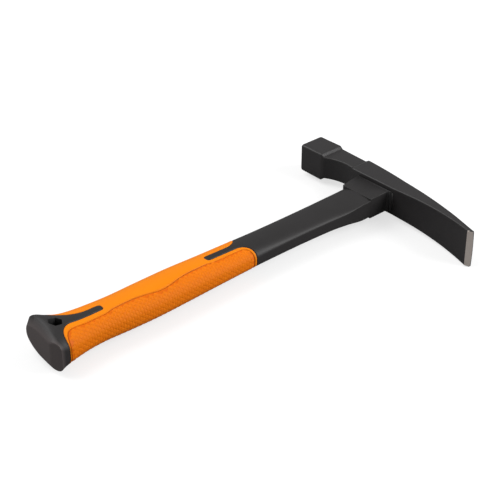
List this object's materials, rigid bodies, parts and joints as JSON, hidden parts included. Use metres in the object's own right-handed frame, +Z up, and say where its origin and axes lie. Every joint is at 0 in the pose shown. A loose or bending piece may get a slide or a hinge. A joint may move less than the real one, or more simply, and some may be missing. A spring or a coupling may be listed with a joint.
{
  "type": "brick hammer",
  "caption": "Brick hammer with a square striking poll, a curved flat chisel blade and a moulded handle with a soft grip and a hexagonal hanging hole.",
  "frame": {"origin": "centre of the footprint, on the surface that the hammer lies on, cheek up", "axes": "+X along the handle from butt to head, +Y from the handle towards the striking poll, -Y towards the blade, +Z up through the cheeks"},
  "size_m": [0.3374, 0.1906, 0.032],
  "materials": {
    "head_enamel": "charcoal enamel, satin, over forged steel; the ground edge is bare",
    "jacket_plastic": "fine-grained charcoal polypropylene",
    "grip_rubber": "orange thermoplastic rubber, smooth on the cheeks, scaled on the sides",
    "rod_fibreglass": "pultruded glass fibre and resin",
    "bond_resin": "cast resin",
    "plug_plastic": "charcoal plastic"
  },
  "bodies": {
    "root": {"head": "head_enamel", "handle_jacket": "jacket_plastic", "grip": "grip_rubber", "core_rod": "rod_fibreglass", "eye_bond": "bond_resin", "eye_plug": "plug_plastic"}
  },
  "joints": []
}
